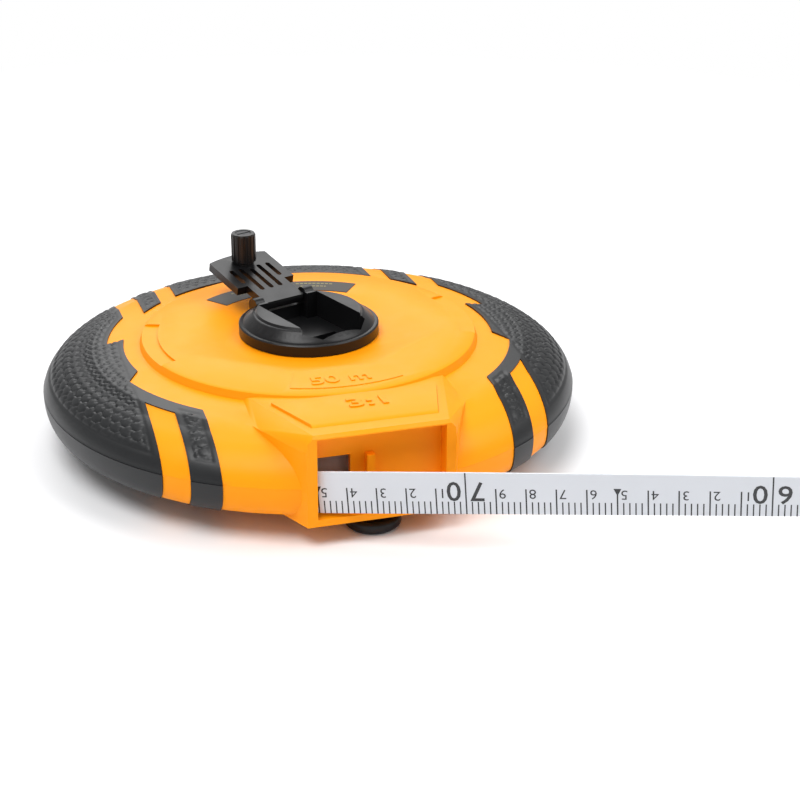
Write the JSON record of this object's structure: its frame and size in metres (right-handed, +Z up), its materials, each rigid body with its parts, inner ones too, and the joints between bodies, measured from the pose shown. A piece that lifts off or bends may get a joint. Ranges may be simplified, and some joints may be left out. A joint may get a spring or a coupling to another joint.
{
  "type": "surveyor tape reel",
  "caption": "Closed-case surveyor's measuring tape on a geared reel, with a fold-out winding crank, rubber edge grips, a mouth with the tape drawn out and a folding end loop.",
  "frame": {"origin": "on the reel's axis, in the plane of the ring that the case rests on", "axes": "+Z up along the reel's axis, out of the crank's hub; the mouth faces -Y, and the folded-out crank lies towards +Y and a little to -X"},
  "size_m": [0.2689, 0.2856, 0.0655],
  "materials": {
    "case_orange": "satin moulded ABS",
    "grip_black": "matt textured rubber",
    "label_grey": "printed label",
    "black_plastic": "satin moulded nylon",
    "gear_white": "moulded acetal",
    "drum_black": "moulded",
    "bright_steel": "zinc plated",
    "brass_part": "plain",
    "felt_red": "felt",
    "tape_white": "coated glass-fibre blade with printed graduations"
  },
  "bodies": {
    "root": {"upper_shell": "case_orange", "lower_shell": "case_orange", "left_grip_upper": "grip_black", "right_grip_upper": "grip_black", "back_grip_upper": "grip_black", "left_grip_lower": "grip_black", "right_grip_lower": "grip_black", "back_grip_lower": "grip_black", "top_label": "label_grey", "case_screws": "bright_steel", "planet_carrier": "bright_steel", "planet_posts": "bright_steel", "centre_axle": "bright_steel", "carrier_screw": "bright_steel", "axle_screw": "bright_steel", "thrust_washer": "brass_part", "tape_lead": "tape_white", "wiper_pads": "felt_red", "foot_button": "black_plastic", "foot_screw": "bright_steel", "tape_blade": "tape_white", "end_clamp": "bright_steel", "clamp_rivets": "brass_part"},
    "crank": {"crank_hub": "black_plastic", "hub_retaining_ring": "black_plastic", "ring_gear": "gear_white", "arm_hinge_pin": "bright_steel"},
    "arm": {"crank_arm": "black_plastic", "knob_pin": "bright_steel"},
    "knob": {"crank_knob": "black_plastic"},
    "drum": {"drum_core": "drum_black", "drum_upper_flange": "drum_black", "drum_lower_flange": "drum_black", "wound_tape": "tape_white", "sun_gear": "gear_white"},
    "planet_1": {"planet_gear_1": "gear_white"},
    "planet_2": {"planet_gear_2": "gear_white"},
    "planet_3": {"planet_gear_3": "gear_white"},
    "end_hook": {"end_ring": "bright_steel"}
  },
  "joints": [
    {"name": "crank_spin", "type": "hinge", "parent": "root", "child": "crank", "pos_m": [0, 0, 0.0305], "axis": [0, 0, 1], "continuous": true},
    {"name": "drum_spin", "type": "hinge", "parent": "root", "child": "drum", "pos_m": [0, 0, 0.0215], "axis": [0, 0, 1], "continuous": true},
    {"name": "planet_1_spin", "type": "hinge", "parent": "root", "child": "planet_1", "pos_m": [0.015, 0, 0.0165], "axis": [0, 0, 1], "continuous": true},
    {"name": "planet_2_spin", "type": "hinge", "parent": "root", "child": "planet_2", "pos_m": [-0.0075, 0.01299, 0.0165], "axis": [0, 0, 1], "continuous": true},
    {"name": "planet_3_spin", "type": "hinge", "parent": "root", "child": "planet_3", "pos_m": [-0.0075, -0.01299, 0.0165], "axis": [0, 0, 1], "continuous": true},
    {"name": "arm_fold", "type": "hinge", "parent": "crank", "child": "arm", "pos_m": [-0.00621, 0.01753, 0.0459], "axis": [0.9426, 0.3338, 0], "range_deg": [0, 180]},
    {"name": "knob_spin", "type": "hinge", "parent": "arm", "child": "knob", "pos_m": [-0.01529, 0.04317, 0.0539], "axis": [0, 0, 1], "continuous": true},
    {"name": "hook_swing", "type": "hinge", "parent": "root", "child": "end_hook", "pos_m": [0.14567, -0.17318, 0.03073], "axis": [-0.1397, -0.1652, 0.9763], "range_deg": [-90, 90]}
  ],
  "couplings": [
    {"joint": "drum_spin", "follows": "crank_spin", "ratio": -3},
    {"joint": "planet_1_spin", "follows": "crank_spin", "ratio": 3},
    {"joint": "planet_2_spin", "follows": "crank_spin", "ratio": 3},
    {"joint": "planet_3_spin", "follows": "crank_spin", "ratio": 3}
  ]
}
